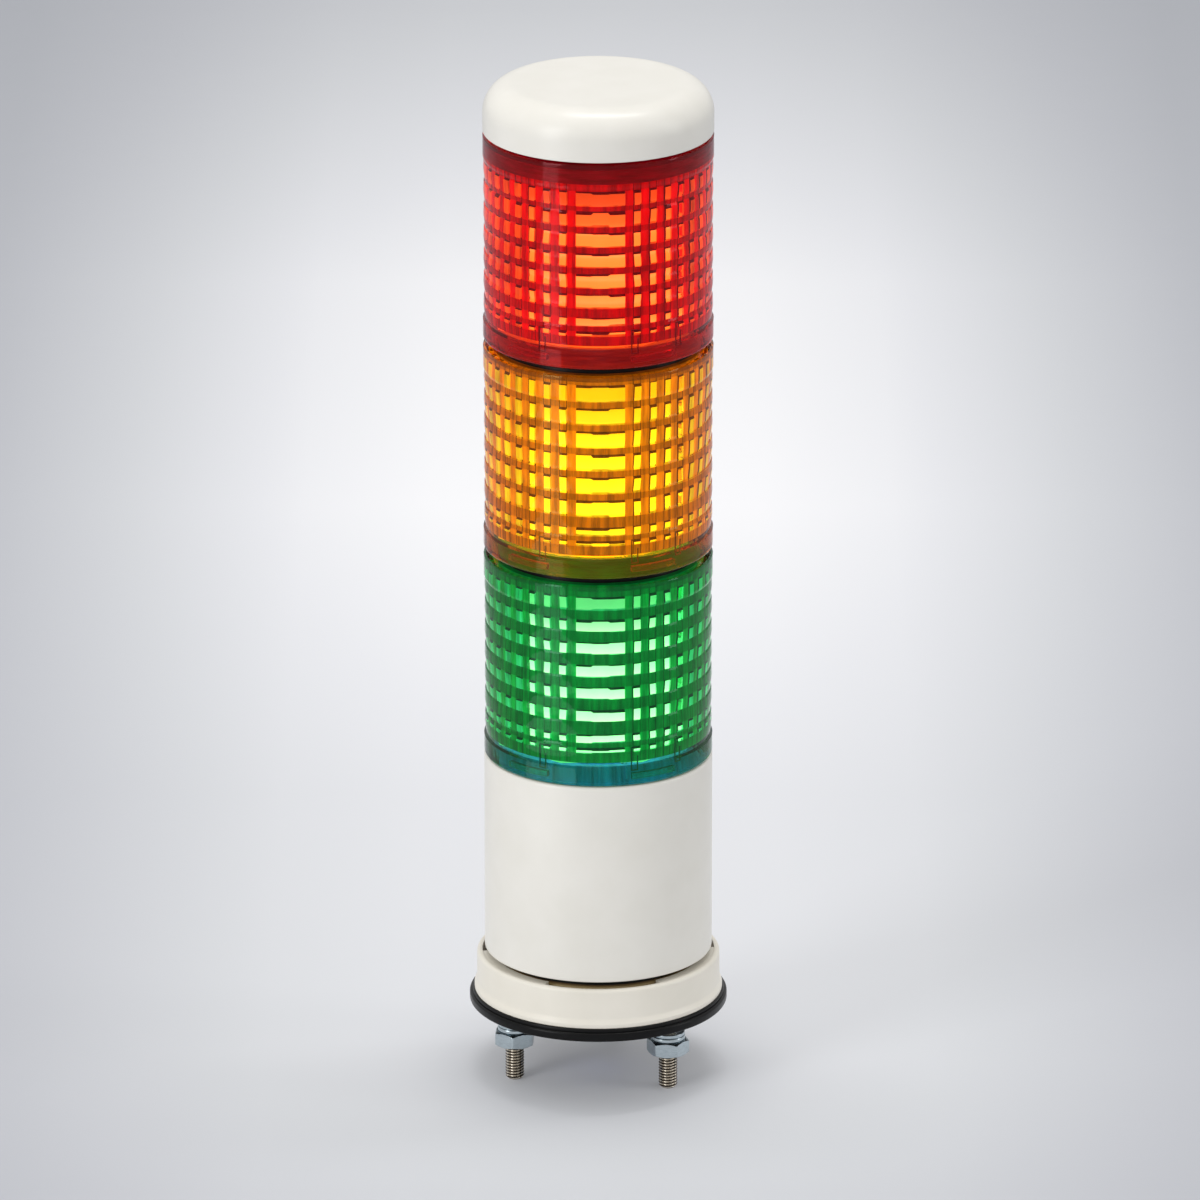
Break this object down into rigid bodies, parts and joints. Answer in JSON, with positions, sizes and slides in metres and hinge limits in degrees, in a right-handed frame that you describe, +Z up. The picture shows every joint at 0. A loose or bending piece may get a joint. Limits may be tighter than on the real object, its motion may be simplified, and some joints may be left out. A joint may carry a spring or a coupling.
{
  "type": "stack light",
  "caption": "Signal tower of stacked round light modules, red over amber over green, on a plain body that twists off a studded base flange with a rubber gasket.",
  "frame": {"origin": "centre of the gasket's underside, where the light stands on the machine", "axes": "+Z up along the tower, front along -Y"},
  "size_m": [0.069, 0.069, 0.2762],
  "materials": {
    "gasket_rubber": "moulded black rubber",
    "ivory_plastic": "moulded, lightly glossy",
    "white_plastic": "moulded, satin gloss",
    "zinc_plate": "bright zinc plate",
    "black_plastic": "moulded",
    "board_green": "solder resist",
    "terminal_plastic": "moulded",
    "core_white": "moulded, opaque white",
    "led_yellow": "clear over phosphor",
    "contact_brass": "spring brass",
    "green_lens": "clear tinted, ribbed and celled",
    "amber_lens": "clear tinted, ribbed and celled",
    "red_lens": "clear tinted, ribbed and celled"
  },
  "bodies": {
    "base": {"base_gasket": "gasket_rubber", "base_flange": "ivory_plastic", "mounting_studs": "zinc_plate", "hex_nuts": "zinc_plate", "spring_washers": "zinc_plate", "flat_washers": "zinc_plate"},
    "body": {"body_housing": "white_plastic", "body_spigot": "black_plastic", "control_board": "board_green", "terminal_block": "terminal_plastic", "relays": "black_plastic", "driver_chips": "black_plastic", "body_contact_board": "board_green"},
    "green": {"green_lens": "green_lens", "green_module_base": "core_white", "green_contact_blades": "contact_brass", "green_light_core": "core_white", "green_led_board": "board_green", "green_leds": "led_yellow", "green_contact_board": "board_green"},
    "amber": {"amber_lens": "amber_lens", "amber_module_base": "core_white", "amber_contact_blades": "contact_brass", "amber_light_core": "core_white", "amber_led_board": "board_green", "amber_leds": "led_yellow", "amber_contact_board": "board_green"},
    "red": {"red_lens": "red_lens", "red_module_base": "core_white", "red_contact_blades": "contact_brass", "red_light_core": "core_white", "red_led_board": "board_green", "red_leds": "led_yellow", "red_contact_board": "board_green"},
    "cap": {"top_cap": "white_plastic"}
  },
  "joints": [
    {"name": "body_twist", "type": "hinge", "parent": "base", "child": "body", "pos_m": [0, 0, 0.0154], "axis": [0, 0, 1], "range_deg": [0, 60]},
    {"name": "green_twist", "type": "hinge", "parent": "body", "child": "green", "pos_m": [0, 0, 0.0709], "axis": [0, 0, 1], "range_deg": [0, 28]},
    {"name": "amber_twist", "type": "hinge", "parent": "green", "child": "amber", "pos_m": [0, 0, 0.1288], "axis": [0, 0, 1], "range_deg": [0, 28]},
    {"name": "red_twist", "type": "hinge", "parent": "amber", "child": "red", "pos_m": [0, 0, 0.1867], "axis": [0, 0, 1], "range_deg": [0, 28]},
    {"name": "cap_twist", "type": "hinge", "parent": "red", "child": "cap", "pos_m": [0, 0, 0.2437], "axis": [0, 0, 1], "range_deg": [0, 28]}
  ]
}
